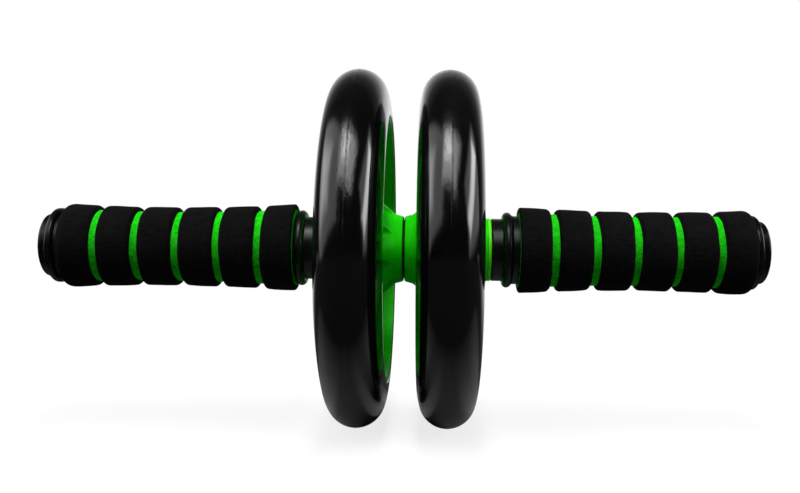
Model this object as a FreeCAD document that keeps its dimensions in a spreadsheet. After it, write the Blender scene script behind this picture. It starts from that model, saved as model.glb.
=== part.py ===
import FreeCAD, Part
import math
import os

import Sketcher

# Ab roller: two spoked wheels side by side on one axle, and a foam-gripped handle at each end.
# X runs along the axle, Z is up, and the origin is the middle of the axle.

SHEET = "Sizes"
START, END, CENTRE = range(1, 4)
X_AXIS, Y_AXIS = range(-1, -3, -1)
ORIGIN = (X_AXIS, START)
UP = FreeCAD.Vector(0, 0, 1)
CUT_TOLERANCE = 0.01
SAME_PLACE = 1e-4
ROUND_SHARE = 0.9

# Driving dimensions in millimetres, and counts.
SIZES = {
    # wheels
    "wheel_dia": 180.0,
    "wheel_gap": 0.4,
    "tyre_width": 30.4,
    "tyre_depth": 22.5,
    "crown_angle": 97.6,
    "tongue_width": 12.0,
    "tongue_depth": 4.0,
    # hubs
    "boss_dia": 33.0,
    "boss_inner_proud": 7.0,
    "boss_outer_proud": 4.4,
    "boss_edge_round": 0.8,
    "boss_draft": 1.15,
    "flare_inner_setback": 4.3,
    "flare_outer_setback": 1.7,
    "flare_height": 7.5,
    "flare_round": 4.0,
    "web_rim_thickness": 14.0,
    "rim_inset": 0.5,
    "rim_wall": 3.0,
    "rim_edge_round": 1.0,
    "spoke_count": 8,
    "spoke_width": 12.0,
    "window_tip_radius": 2.0,
    "window_corner_radius": 6.0,
    "window_margin": 2.0,
    "recess_floor": 7.0,
    "recess_rib": 2.5,
    "recess_boss_gap": 7.0,
    "recess_rim_gap": 7.5,
    # axle and bushes
    "axle_dia": 20.0,
    "axle_wall": 2.0,
    "axle_chamfer": 0.8,
    "bush_wall": 2.0,
    "bush_length": 12.0,
    "bush_recess": 1.0,
    "bush_flange_dia": 31.8,
    "bush_flange_thickness": 1.7,
    # handles
    "neck_dia": 31.6,
    "neck_length": 5.6,
    "bead_rise": 1.7,
    "bead_width": 4.6,
    "bead_round": 1.5,
    "seat_inner_dia": 34.8,
    "seat_outer_dia": 33.4,
    "seat_length": 119.65,
    "seat_curve_radius": 1050.0,
    "seat_tapers": 6,
    "axle_stop_thickness": 6.0,
    "axle_stop_bore": 12.0,
    "cap_bore": 26.0,
    # end caps
    "cap_barrel_length": 14.0,
    "cap_barrel_wall": 2.5,
    "cap_barrel_room": 3.8,
    "cap_flange_dia": 37.8,
    "cap_flange_thickness": 3.2,
    "cap_step": 3.0,
    "cap_disc_thickness": 4.15,
    "cap_edge_round": 1.2,
    # foam grips
    "sleeve_thickness": 2.0,
    "band_thickness": 2.4,
    "band_round": 1.7,
    "groove_count": 5,
    "groove_width": 3.6,
    "end_band_reach": 17.4,
    "grip_play": 3.65,
    "left_grip_gap": 0.5,
    "right_grip_end_gap": 0.1,
    # clearances
    "running_gap": 0.1,
    "side_gap": 0.3,
    "fit_gap": 0.05,
    "foam_gap": 0.15,
}


class Dim:
    # A length: its value now, and the sheet formula that it follows.
    def __init__(self, value, formula):
        self.value = value
        self.formula = formula

    def joined(self, other, sign, value):
        return Dim(value, f"({self.formula} {sign} {as_dim(other).formula})")

    def __add__(self, other):
        return self.joined(other, "+", self.value + as_dim(other).value)

    def __sub__(self, other):
        return self.joined(other, "-", self.value - as_dim(other).value)

    def __mul__(self, other):
        return self.joined(other, "*", self.value * as_dim(other).value)

    def __truediv__(self, other):
        return self.joined(other, "/", self.value / as_dim(other).value)

    def __neg__(self):
        return Dim(-self.value, f"(-1 * {self.formula})")


def as_dim(number):
    if isinstance(number, Dim):
        return number
    return Dim(float(number), repr(number))


def make_sheet(doc):
    sheet = doc.addObject("Spreadsheet::Sheet", SHEET)
    for row, (alias, number) in enumerate(SIZES.items(), start=1):
        sheet.set(f"A{row}", alias)
        sheet.set(f"B{row}", str(number))
        sheet.setAlias(f"B{row}", alias)
    doc.recompute()


def size(alias):
    return Dim(float(SIZES[alias]), f"{SHEET}.{alias}")


def half(alias):
    return size(alias) / 2


def limited(alias, *walls):
    # The size of a rounded or bevelled edge, held to what the walls beside it leave room for.
    chosen = size(alias)
    for wall in walls:
        room = wall * ROUND_SHARE
        chosen = Dim(min(chosen.value, room.value), f"min({chosen.formula}; {room.formula})")
    return chosen


# Sketch and feature helpers

def new_body(doc, label):
    body = doc.addObject("PartDesign::Body", label)
    body.Label = label
    return body


def new_sketch(body, name, plane, offset=None):
    sketch = body.newObject("Sketcher::SketchObject", name)
    support = next(item for item in body.Origin.OriginFeatures if item.Role == plane)
    sketch.AttachmentSupport = [(support, "")]
    sketch.MapMode = "FlatFace"
    if offset is not None:
        sketch.setExpression("AttachmentOffset.Base.z", offset.formula)
    return sketch


def bind(sketch, kind, *where, dim):
    # Adds one dimension to a sketch and ties it to the sheet.
    index = sketch.addConstraint(Sketcher.Constraint(kind, *where, dim.value))
    sketch.setExpression(f"Constraints[{index}]", dim.formula)


def pin(sketch, geometry, end, across, up):
    # Fixes a point of the sketch by its distances from the origin.
    for kind, axis, dim in (("DistanceX", Y_AXIS, across), ("DistanceY", X_AXIS, up)):
        if dim.value == 0:
            sketch.addConstraint(Sketcher.Constraint("PointOnObject", geometry, end, axis))
        elif dim.value > 0:
            bind(sketch, kind, *ORIGIN, geometry, end, dim=dim)
        else:
            bind(sketch, kind, geometry, end, *ORIGIN, dim=-dim)


def line(start, end):
    return Part.LineSegment(FreeCAD.Vector(*start, 0), FreeCAD.Vector(*end, 0))


def arc(centre, radius, start, end):
    # An arc about a centre, anticlockwise from the bearing of one point to that of another.
    angles = [math.atan2(y - centre[1], x - centre[0]) for x, y in (start, end)]
    circle = Part.Circle(FreeCAD.Vector(*centre, 0), UP, radius)
    return Part.ArcOfCircle(circle, *angles)


def outline(sketch, corners):
    # A closed outline of straight sides through the given corners.
    spots = [(across.value, up.value) for across, up in corners]
    for index, (across, up) in enumerate(corners):
        following = (index + 1) % len(corners)
        sketch.addGeometry(line(spots[index], spots[following]), False)
        pin(sketch, index, START, across, up)
    for index in range(len(corners)):
        following = (index + 1) % len(corners)
        sketch.addConstraint(Sketcher.Constraint("Coincident", index, END, following, START))


def chain(sketch, pieces):
    # Draws lines and arcs end to end, tangent where they meet.
    sketch.addGeometry(pieces, False)
    for index in range(len(pieces)):
        following = (index + 1) % len(pieces)
        sketch.addConstraint(Sketcher.Constraint("Tangent", index, END, following, START))


def revolve(body, sketch):
    turned = body.newObject("PartDesign::Revolution", body.Label + "_turned")
    turned.Profile = sketch
    turned.ReferenceAxis = (sketch, ["H_Axis"])
    turned.Angle = 360
    body.Document.recompute()
    return turned


def turned_body(doc, label, corners):
    body = new_body(doc, label)
    sketch = new_sketch(body, label + "_profile", "XZ_Plane")
    outline(sketch, corners)
    return body, revolve(body, sketch)


def ring_names(shape, rings):
    # The names of the circular edges that run round the axle at the given places.
    names = []
    for number, edge in enumerate(shape.Edges, start=1):
        if not isinstance(edge.Curve, Part.Circle):
            continue
        for across, up in rings:
            beside = abs(edge.Curve.Center.x - across.value)
            larger = abs(edge.Curve.Radius - up.value)
            if max(beside, larger) < SAME_PLACE:
                names.append(f"Edge{number}")
    if len(names) < len(rings):
        raise RuntimeError("an edge to round was not found")
    return names


def round_rings(body, base, name, radius, rings):
    rounded = body.newObject("PartDesign::Fillet", f"{body.Label}_{name}")
    rounded.Base = (base, ring_names(base.Shape, rings))
    rounded.setExpression("Radius", radius.formula)
    body.Document.recompute()
    return rounded


def chamfer_rings(body, base, name, width, rings):
    cut = body.newObject("PartDesign::Chamfer", f"{body.Label}_{name}")
    cut.Base = (base, ring_names(base.Shape, rings))
    cut.setExpression("Size", width.formula)
    body.Document.recompute()
    return cut


def cut_round_hub(body, sketch, name, length, symmetric, reverse):
    # One pocket, repeated once for every spoke round the axle. Every copy has to cut as much.
    whole = body.Shape.Volume
    pocket = body.newObject("PartDesign::Pocket", f"{body.Label}_{name}")
    pocket.Profile = sketch
    pocket.SideType = "Symmetric" if symmetric else "One side"
    pocket.Reversed = reverse
    pocket.Refine = False
    pocket.setExpression("Length", length.formula)
    body.Document.recompute()
    one_cut = whole - body.Shape.Volume
    pattern = body.newObject("PartDesign::PolarPattern", f"{body.Label}_{name}_all")
    pattern.Originals = [pocket]
    pattern.Axis = (sketch, ["N_Axis"])
    pattern.Angle = 360
    pattern.Refine = False
    pattern.setExpression("Occurrences", size("spoke_count").formula)
    body.Tip = pattern
    body.Document.recompute()
    all_cut = whole - body.Shape.Volume
    if one_cut <= 0 or abs(all_cut / one_cut - SIZES["spoke_count"]) > CUT_TOLERANCE:
        raise RuntimeError(f"{name} was not cut all round {body.Label}")


def place(body, side, distance):
    # Pieces are drawn for the right-hand side. The left-hand ones are turned half round.
    if side == "left":
        body.Placement.Rotation = FreeCAD.Rotation(UP, 180)
        distance = -distance
    body.setExpression("Placement.Base.x", distance.formula)


# Places along the axle, measured from its middle

def boss_inner_reach():
    return half("tyre_width") + size("boss_inner_proud")


def boss_outer_reach():
    return half("tyre_width") + size("boss_outer_proud")


def wheel_plane():
    return half("wheel_gap") + boss_inner_reach()


def neck_start():
    return wheel_plane() + boss_outer_reach() + size("bush_flange_thickness") + size("side_gap")


def seat_start():
    return neck_start() + size("neck_length") + size("bead_width")


def seat_end():
    return seat_start() + size("seat_length")


def axle_reach():
    # The axle stops in each handle at a wall that leaves room for the end cap's barrel.
    return (seat_end() - size("cap_barrel_length") - size("cap_barrel_room")
            - size("axle_stop_thickness") - size("fit_gap"))


# Shared radii

def tyre_seat_radius():
    return half("wheel_dia") - size("tyre_depth")


def bush_radius():
    return half("axle_dia") + size("running_gap") + size("bush_wall")


def rim_floor_radius():
    return tyre_seat_radius() - size("tongue_depth") - size("rim_wall")


def bead_radius():
    return half("seat_inner_dia") + size("bead_rise")


def seat_radius(across):
    # Radius at a place along the waisted foam seat: a straight taper less the dip of its hollow curve.
    start, finish, length = half("seat_inner_dia"), half("seat_outer_dia"), size("seat_length")
    dip = across * (length - across) / (size("seat_curve_radius") * 2)
    return start + (finish - start) * across / length - dip


def seat_stations():
    # Places along the foam seat, between its ends, where one taper of the waist meets the next.
    tapers = SIZES["seat_tapers"]
    return [size("seat_length") * number / tapers for number in range(1, tapers)]


# Wheels

def window_sketch(body):
    # The wedge between two spokes: its sides lie along the spokes, its tip by the boss and its
    # wide end by the rim are rounded.
    pitch = 2 * math.pi / SIZES["spoke_count"]
    side = SIZES["spoke_width"] / 2
    tip = SIZES["window_tip_radius"]
    corner = SIZES["window_corner_radius"]
    reach = rim_floor_radius() - size("window_margin")

    def mirrored(spot):
        x, y = spot
        return (math.cos(pitch) * x + math.sin(pitch) * y, math.sin(pitch) * x - math.cos(pitch) * y)

    tip_centre = ((side + tip) / math.tan(pitch / 2), side + tip)
    corner_centre = (math.sqrt((reach.value - corner) ** 2 - (side + corner) ** 2), side + corner)
    stretch = reach.value / (reach.value - corner)
    tip_touch = (tip_centre[0], side)
    corner_touch = (corner_centre[0], side)
    rim_touch = (corner_centre[0] * stretch, corner_centre[1] * stretch)
    sketch = new_sketch(body, body.Label + "_window_outline", "YZ_Plane")
    chain(sketch, [
        line(tip_touch, corner_touch),
        arc(corner_centre, corner, corner_touch, rim_touch),
        arc((0, 0), reach.value, rim_touch, mirrored(rim_touch)),
        arc(mirrored(corner_centre), corner, mirrored(rim_touch), mirrored(corner_touch)),
        line(mirrored(corner_touch), mirrored(tip_touch)),
        arc(tip_centre, tip, mirrored(tip_touch), tip_touch),
    ])
    lower_side, lower_corner, rim_arc, upper_corner, upper_side, tip_arc = range(6)
    sketch.addConstraint(Sketcher.Constraint("Horizontal", lower_side))
    bind(sketch, "DistanceY", *ORIGIN, lower_side, START, dim=half("spoke_width"))
    bind(sketch, "Distance", *ORIGIN, upper_side, dim=half("spoke_width"))
    spoke_turn = Dim(pitch, f"(360 deg / {SHEET}.spoke_count)")
    bind(sketch, "Angle", lower_side, START, upper_side, END, dim=spoke_turn)
    sketch.addConstraint(Sketcher.Constraint("Coincident", rim_arc, CENTRE, *ORIGIN))
    bind(sketch, "Radius", rim_arc, dim=reach)
    bind(sketch, "Radius", lower_corner, dim=size("window_corner_radius"))
    bind(sketch, "Radius", upper_corner, dim=size("window_corner_radius"))
    bind(sketch, "Radius", tip_arc, dim=size("window_tip_radius"))
    return sketch


def recess_sketch(body, name, offset):
    # A round-ended slot along one spoke, at the given distance from the wheel's middle plane.
    radius = half("spoke_width") - size("recess_rib")
    start = half("boss_dia") + size("flare_height") + size("recess_boss_gap")
    finish = rim_floor_radius() - size("recess_rim_gap")
    near, far, reach = start.value, finish.value, radius.value
    sketch = new_sketch(body, f"{body.Label}_{name}_outline", "YZ_Plane", offset)
    chain(sketch, [
        line((near, -reach), (far, -reach)),
        arc((far, 0), reach, (far, -reach), (far, reach)),
        line((far, reach), (near, reach)),
        arc((near, 0), reach, (near, reach), (near, -reach)),
    ])
    far_end, near_end = 1, 3
    pin(sketch, far_end, CENTRE, finish, as_dim(0))
    pin(sketch, near_end, CENTRE, start, as_dim(0))
    bind(sketch, "Radius", far_end, dim=radius)
    return sketch


def make_hub(doc, side):
    # Boss, flared web and drafted rim turned in one piece, then cut into spokes. The boss is
    # drafted too: it widens from its inner end to the flare.
    boss = half("boss_dia")
    flare_foot = boss + size("boss_draft")
    inner, outer = boss_inner_reach(), boss_outer_reach()
    inner_flare = inner - size("flare_inner_setback")
    outer_flare = outer - size("flare_outer_setback")
    inner_flare_end = inner_flare - size("flare_height")
    outer_flare_end = outer_flare - size("flare_height")
    flare_top = boss + size("flare_height")
    web = half("web_rim_thickness")
    rim, seat, floor = half("tyre_width") - size("rim_inset"), tyre_seat_radius(), rim_floor_radius()
    lip = seat - size("rim_wall")
    channel, channel_floor = half("tongue_width"), seat - size("tongue_depth")
    shoulder = channel + size("rim_wall")
    bore = half("axle_dia") + size("bush_wall") / 2
    bush_seat = bush_radius() + size("fit_gap")
    inner_step = -inner + size("bush_recess") + size("bush_length")
    outer_step = outer - size("bush_length")
    corners = [
        (-inner, bush_seat), (-inner, boss), (-inner_flare, flare_foot),
        (-inner_flare_end, flare_top), (-web, floor), (-shoulder, floor), (-rim, lip),
        (-rim, seat), (-channel, seat),
        (-channel, channel_floor), (channel, channel_floor), (channel, seat), (rim, seat),
        (rim, lip), (shoulder, floor), (web, floor), (outer_flare_end, flare_top),
        (outer_flare, boss), (outer, boss), (outer, bush_seat), (outer_step, bush_seat),
        (outer_step, bore), (inner_step, bore), (inner_step, bush_seat),
    ]
    body, solid = turned_body(doc, f"{side}_hub", corners)
    flare_round = limited("flare_round", size("flare_inner_setback"), size("flare_height"))
    solid = round_rings(body, solid, "flare_round", flare_round, [
        (-inner_flare, flare_foot), (-inner_flare_end, flare_top), (outer_flare_end, flare_top)])
    boss_round = limited("boss_edge_round", boss - bush_seat, size("flare_outer_setback"))
    solid = round_rings(body, solid, "boss_round", boss_round, [(-inner, boss), (outer, boss)])
    rim_round = limited("rim_edge_round", size("rim_wall"))
    round_rings(body, solid, "rim_round", rim_round, [(-rim, lip), (rim, lip)])
    cut_round_hub(body, window_sketch(body), "window", inner * 2, True, False)
    depth = half("recess_floor")
    for face, offset, outward in (("inner_recess", -depth, False), ("outer_recess", depth, True)):
        sketch = recess_sketch(body, face, offset)
        cut_round_hub(body, sketch, face, inner, False, outward)
    place(body, side, wheel_plane())
    return body


def make_tyre(doc, side):
    # A crown arc runs into two flank arcs, which stand square on the rim. A tongue keys it there.
    body = new_body(doc, f"{side}_tyre")
    sketch = new_sketch(body, f"{side}_tyre_profile", "XZ_Plane")
    seat = tyre_seat_radius() + size("fit_gap")
    tongue = half("tongue_width") - size("fit_gap")
    tongue_end = seat - size("tongue_depth")
    wide, deep = half("tyre_width"), half("wheel_dia") - seat
    turn = math.radians(SIZES["crown_angle"] / 2)
    sine = Dim(math.sin(turn), f"sin({SHEET}.crown_angle / 2 * 1 deg)")
    cosine = Dim(math.cos(turn), f"cos({SHEET}.crown_angle / 2 * 1 deg)")
    excess = (deep - wide) / (sine + cosine - 1)
    crown = deep - excess * cosine
    flank = crown + excess
    crown_height = half("wheel_dia") - crown
    join = (crown.value * sine.value, crown_height.value + crown.value * cosine.value)
    other_join = (-join[0], join[1])
    flank_centre = (wide.value - flank.value, seat.value)
    other_centre = (-flank_centre[0], flank_centre[1])
    corners = [(wide, seat), (tongue, seat), (tongue, tongue_end),
               (-tongue, tongue_end), (-tongue, seat), (-wide, seat)]
    spots = [(across.value, up.value) for across, up in corners]
    crown_arc, right_flank, left_flank, first_line = range(4)
    sketch.addGeometry([
        arc((0, crown_height.value), crown.value, join, other_join),
        arc(flank_centre, flank.value, spots[0], join),
        arc(other_centre, flank.value, other_join, spots[-1]),
    ], False)
    sketch.addGeometry([line(*pair) for pair in zip(spots, spots[1:])], False)
    last_line = first_line + len(spots) - 2
    sketch.addConstraint(Sketcher.Constraint("Tangent", right_flank, END, crown_arc, START))
    sketch.addConstraint(Sketcher.Constraint("Tangent", crown_arc, END, left_flank, START))
    sketch.addConstraint(Sketcher.Constraint("Coincident", right_flank, START, first_line, START))
    sketch.addConstraint(Sketcher.Constraint("Coincident", left_flank, END, last_line, END))
    for index in range(first_line, last_line):
        sketch.addConstraint(Sketcher.Constraint("Coincident", index, END, index + 1, START))
    for index, (across, up) in enumerate(corners[:-1]):
        pin(sketch, first_line + index, START, across, up)
    pin(sketch, last_line, END, *corners[-1])
    pin(sketch, crown_arc, CENTRE, as_dim(0), crown_height)
    bind(sketch, "Radius", crown_arc, dim=crown)
    bind(sketch, "DistanceY", *ORIGIN, right_flank, CENTRE, dim=seat)
    bind(sketch, "DistanceY", *ORIGIN, left_flank, CENTRE, dim=seat)
    revolve(body, sketch)
    place(body, side, wheel_plane())
    return body


def make_inner_bush(doc, side):
    bore, outside = half("axle_dia") + size("running_gap"), bush_radius()
    length = size("bush_length")
    none = as_dim(0)
    body, _ = turned_body(doc, f"{side}_inner_bush", [
        (none, bore), (none, outside), (length, outside), (length, bore)])
    place(body, side, half("wheel_gap") + size("bush_recess"))
    return body


def make_outer_bush(doc, side):
    # The flange stands outside the boss and takes the handle's side thrust.
    bore, outside = half("axle_dia") + size("running_gap"), bush_radius()
    length = size("bush_length")
    flange, end = half("bush_flange_dia"), length + size("bush_flange_thickness")
    none = as_dim(0)
    body, _ = turned_body(doc, f"{side}_outer_bush", [
        (none, bore), (none, outside), (length, outside), (length, flange), (end, flange), (end, bore)])
    place(body, side, wheel_plane() + boss_outer_reach() - length)
    return body


# Axle and handles

def make_axle(doc):
    reach, outside = axle_reach(), half("axle_dia")
    bore = outside - size("axle_wall")
    chamfer = limited("axle_chamfer", size("axle_wall"))
    body, solid = turned_body(doc, "axle", [
        (-reach, bore), (-reach, outside), (reach, outside), (reach, bore)])
    chamfer_rings(body, solid, "end_chamfer", chamfer, [(-reach, outside), (reach, outside)])
    return body


def make_handle(doc, side):
    # Neck, bead and waisted foam seat, bored for the axle from one end and the cap from the other.
    neck, bead = half("neck_dia"), bead_radius()
    axle_bore = half("axle_dia") + size("fit_gap")
    bead_start = size("neck_length")
    bead_end = bead_start + size("bead_width")
    end = bead_end + size("seat_length")
    stop = axle_reach() - neck_start() + size("fit_gap")
    stop_end = stop + size("axle_stop_thickness")
    stop_bore, cap_bore = half("axle_stop_bore"), half("cap_bore")
    none = as_dim(0)
    waist = [(bead_end + across, seat_radius(across)) for across in seat_stations()]
    corners = [
        (none, axle_bore), (none, neck), (bead_start, neck), (bead_start, bead), (bead_end, bead),
        (bead_end, half("seat_inner_dia")), *waist, (end, half("seat_outer_dia")), (end, cap_bore),
        (stop_end, cap_bore), (stop_end, stop_bore), (stop, stop_bore), (stop, axle_bore),
    ]
    body, solid = turned_body(doc, f"{side}_handle", corners)
    bead_round = limited("bead_round", size("bead_rise"), half("bead_width"), bead - neck)
    round_rings(body, solid, "bead_round", bead_round, [(bead_start, bead), (bead_end, bead)])
    place(body, side, neck_start())
    return body


def make_cap(doc, side):
    # A hollow barrel pushes into the handle. The flange covers its end, and a disc steps out of it.
    barrel = half("cap_bore") - size("fit_gap")
    hollow = barrel - size("cap_barrel_wall")
    flange = half("cap_flange_dia")
    disc = flange - size("cap_step")
    step = size("cap_flange_thickness")
    end = step + size("cap_disc_thickness")
    edge_round = limited("cap_edge_round", step, size("cap_step"), size("cap_disc_thickness"))
    none = as_dim(0)
    depth = -size("cap_barrel_length")
    corners = [
        (depth, hollow), (depth, barrel), (none, barrel), (none, flange), (step, flange),
        (step, disc), (end, disc), (end, none), (none, none), (none, hollow),
    ]
    body, solid = turned_body(doc, f"{side}_end_cap", corners)
    round_rings(body, solid, "edge_round", edge_round, [(step, flange), (end, disc)])
    place(body, side, seat_end() + size("fit_gap"))
    return body


# Foam grips

def grip_length():
    return size("seat_length") - size("grip_play")


def grip_gap(side):
    # How far from the bead each grip was pushed on. The right-hand one nearly reaches the cap.
    if side == "left":
        return size("left_grip_gap")
    return size("grip_play") - size("right_grip_end_gap")


def sleeve_radius(side, across):
    return seat_radius(grip_gap(side) + across) + size("foam_gap") + size("sleeve_thickness")


def band_spans():
    # Start and end of each black band along the grip. The grooves between them are evenly spaced.
    grooves = SIZES["groove_count"]
    length, reach, half_groove = grip_length(), size("end_band_reach"), half("groove_width")
    pitch = (length - reach * 2) / (size("groove_count") - 1)
    middles = [reach + pitch * number for number in range(grooves)]
    starts = [as_dim(0)] + [middle + half_groove for middle in middles]
    ends = [middle - half_groove for middle in middles] + [length]
    return list(zip(starts, ends))


def grip_start(side):
    return seat_start() + grip_gap(side)


def make_grip_sleeve(doc, side):
    # The green inner layer: its bore follows the handle's waist, its outside carries the bands.
    gap = grip_gap(side)
    edges = [across for span in band_spans() for across in span]
    outside = [(across, sleeve_radius(side, across)) for across in edges]
    stations = [gap, *seat_stations(), gap + grip_length()]
    bore = [(across - gap, seat_radius(across) + size("foam_gap")) for across in reversed(stations)]
    body, _ = turned_body(doc, f"{side}_grip_sleeve", outside + bore)
    place(body, side, grip_start(side))
    return body


def make_grip_band(doc, side, number, start, end):
    inside = [(across, sleeve_radius(side, across)) for across in (start, end)]
    outside = [(across, up + size("band_thickness")) for across, up in inside]
    body, solid = turned_body(doc, f"{side}_grip_band_{number}", [inside[0], *outside, inside[1]])
    edge_round = limited("band_round", size("band_thickness"), (end - start) / 2)
    round_rings(body, solid, "edge_round", edge_round, outside)
    place(body, side, grip_start(side))
    return body


def build(doc):
    parts = [make_axle(doc)]
    for side in ("left", "right"):
        for make in (make_hub, make_tyre, make_inner_bush, make_outer_bush, make_handle, make_cap,
                     make_grip_sleeve):
            parts.append(make(doc, side))
        for number, (start, end) in enumerate(band_spans(), start=1):
            parts.append(make_grip_band(doc, side, number, start, end))
    return parts


def check(doc, parts):
    for item in doc.Objects:
        if "Invalid" in item.State or "Error" in item.State:
            raise RuntimeError(f"{item.Label} failed: {item.State}")
    for part in parts:
        shape = part.Shape
        if shape.isNull() or not shape.isValid() or len(shape.Solids) != 1:
            raise RuntimeError(f"{part.Label} is not one valid solid")


def main():
    doc = FreeCAD.newDocument("ab_roller")
    make_sheet(doc)
    parts = build(doc)
    doc.recompute()
    check(doc, parts)
    os.makedirs("parts", exist_ok=True)
    for part in parts:
        part.Shape.exportStep(f"parts/{part.Label}.step")
        box = part.Shape.BoundBox
        print(f"{part.Label}: {part.Shape.Volume:.0f} mm3, X {box.XMin:.1f} to {box.XMax:.1f}")


main()
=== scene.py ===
import math

import bmesh
import bpy
import numpy as np
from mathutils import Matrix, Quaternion, Vector


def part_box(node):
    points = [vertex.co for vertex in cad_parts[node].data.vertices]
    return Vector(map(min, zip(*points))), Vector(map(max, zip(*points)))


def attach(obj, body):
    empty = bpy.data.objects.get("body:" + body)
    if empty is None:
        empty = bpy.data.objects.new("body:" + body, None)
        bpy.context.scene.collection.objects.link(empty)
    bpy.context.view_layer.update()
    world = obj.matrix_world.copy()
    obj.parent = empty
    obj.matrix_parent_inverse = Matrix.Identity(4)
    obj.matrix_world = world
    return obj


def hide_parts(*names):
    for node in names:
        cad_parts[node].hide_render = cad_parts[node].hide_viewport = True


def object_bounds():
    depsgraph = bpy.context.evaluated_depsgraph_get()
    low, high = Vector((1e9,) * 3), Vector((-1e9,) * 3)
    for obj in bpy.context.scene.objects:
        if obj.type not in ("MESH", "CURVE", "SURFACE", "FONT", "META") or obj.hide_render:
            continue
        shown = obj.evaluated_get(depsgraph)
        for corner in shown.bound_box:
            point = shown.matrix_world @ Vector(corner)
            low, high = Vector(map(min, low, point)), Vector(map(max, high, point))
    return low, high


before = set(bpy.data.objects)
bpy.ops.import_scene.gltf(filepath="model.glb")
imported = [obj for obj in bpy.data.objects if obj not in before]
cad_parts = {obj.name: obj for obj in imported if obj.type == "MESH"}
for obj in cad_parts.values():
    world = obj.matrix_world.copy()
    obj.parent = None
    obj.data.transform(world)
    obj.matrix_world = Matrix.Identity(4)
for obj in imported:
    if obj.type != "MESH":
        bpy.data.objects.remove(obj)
cadLow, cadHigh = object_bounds()
scene = bpy.context.scene
scene.view_settings.view_transform = "Standard"
mm = 0.001
fullTurn = 2 * math.pi
sides = {"left": -1.0, "right": 1.0}  # which way along the axle each half points


# Camera: level with the axle and nearly square to it, a little right of the seam. The photograph is
# cropped off centre, so the shift brings the lens axis to its place in the frame. Focal length and
# centre are in pixels.
view = dict(width=800, height=493, focal=901.7, distance=0.460, across=0.01125, centreU=426.35,
            centreV=249.1, roll=0.66, turn=0.482, sensor=36.0, nearest=0.01)
lens = bpy.data.cameras.new("photoCamera")
lens.sensor_width = view["sensor"]
lens.lens = view["focal"] / view["width"] * view["sensor"]
lens.shift_x = (view["width"] / 2 - view["centreU"]) / view["width"]
lens.shift_y = (view["centreV"] - view["height"] / 2) / view["width"]
lens.clip_start = view["nearest"]
camera = bpy.data.objects.new("photoCamera", lens)
turn = math.radians(view["turn"])
camera.location = (view["across"] * math.cos(turn) + view["distance"] * math.sin(turn),
                   view["across"] * math.sin(turn) - view["distance"] * math.cos(turn), 0.0)
camera.rotation_euler = (math.radians(90), math.radians(-view["roll"]), turn)
scene.collection.objects.link(camera)
scene.camera = camera
print("camera: lens %.1f mm, %.2f m away" % (lens.lens, view["distance"]))


# Node helpers: a value that is a socket is linked, any other is set on the input.
def addNode(tree, kind, inputs=None, **settings):
    node = tree.nodes.new(kind)
    for key, value in settings.items():
        setattr(node, key, value)
    for name, value in (inputs or {}).items():
        if isinstance(value, bpy.types.NodeSocket):
            tree.links.new(value, node.inputs[name])
        else:
            node.inputs[name].default_value = value
    return node


# A new node material, with the object's own coordinates for its patterns.
def startMaterial(name):
    material = bpy.data.materials.new(name)
    material.use_nodes = True
    tree = material.node_tree
    spot = addNode(tree, "ShaderNodeTexCoord").outputs["Object"]
    return material, tree, tree.nodes["Principled BSDF"], spot


# Layered noise at a scale, about 0.5 in the mean.
def noiseOf(tree, spot, scale, detail=3.0, rough=0.55):
    inputs = {"Vector": spot, "Scale": scale, "Detail": detail, "Roughness": rough}
    return addNode(tree, "ShaderNodeTexNoise", inputs).outputs["Fac"]


# Coordinates times a scale for each axis: a pattern is drawn out where the scale is small.
def stretched(tree, spot, scale):
    return addNode(tree, "ShaderNodeMapping", {"Vector": spot, "Scale": scale}).outputs["Vector"]


# A value carried from one range to another, in a straight line or by a smooth step.
def rangeOf(tree, value, low, high, fromLow=0.3, fromHigh=0.7, curve="LINEAR"):
    inputs = {"Value": value, "From Min": fromLow, "From Max": fromHigh,
              "To Min": low, "To Max": high}
    return addNode(tree, "ShaderNodeMapRange", inputs, interpolation_type=curve).outputs["Result"]


# One sum on one or two values.
def mathOf(tree, operation, first, second=0.0):
    return addNode(tree, "ShaderNodeMath", {0: first, 1: second}, operation=operation).outputs[0]


# Colours at places from 0 to 1, blended between them.
def rampOf(tree, value, stops):
    ramp = addNode(tree, "ShaderNodeValToRGB", {"Fac": value})
    while len(ramp.color_ramp.elements) < len(stops):
        ramp.color_ramp.elements.new(0.5)
    for element, (place, colour) in zip(ramp.color_ramp.elements, stops):
        element.position = place
        element.color = (*colour, 1.0)
    return ramp.outputs["Color"]


# One colour up to the first place, another from the second on, blended between them.
def twoTones(tree, value, first, last, start=0.3, finish=0.7):
    return rampOf(tree, value, [(start, first), (finish, last)])


# Relief: the slope of height times depth tilts the normal, over the relief under it.
def bumpOf(tree, height, depth, under=None):
    inputs = {"Height": height, "Distance": depth, "Strength": 1.0}
    if under is not None:
        inputs["Normal"] = under
    return addNode(tree, "ShaderNodeBump", inputs).outputs["Normal"]


# Colour, roughness and relief go into the shader.
def feed(tree, shader, colour, rough, normal):
    for name, socket in (("Base Color", colour), ("Roughness", rough), ("Normal", normal)):
        tree.links.new(socket, shader.inputs[name])


# Distance from a plane across the axle, alike on both halves: |X| less its place, made positive.
def awayFromPlane(tree, spot, plane):
    across = addNode(tree, "ShaderNodeSeparateXYZ", {"Vector": spot}).outputs["X"]
    offset = mathOf(tree, "SUBTRACT", mathOf(tree, "ABSOLUTE", across), plane)
    return mathOf(tree, "ABSOLUTE", offset)


tyreFinish = dict(dark=(0.0014, 0.0014, 0.0016), pale=(0.0034, 0.0034, 0.0037),
                  smooth=0.06, dull=0.13, smudgeScale=38.0, grainScale=1500.0, grainDepth=0.000004,
                  swellScale=55.0, swellDepth=0.00012, scuffScale=(430.0, 120.0, 120.0),
                  scuffReach=0.0075, scuffDepth=0.00022, scuffRough=0.12)


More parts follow.
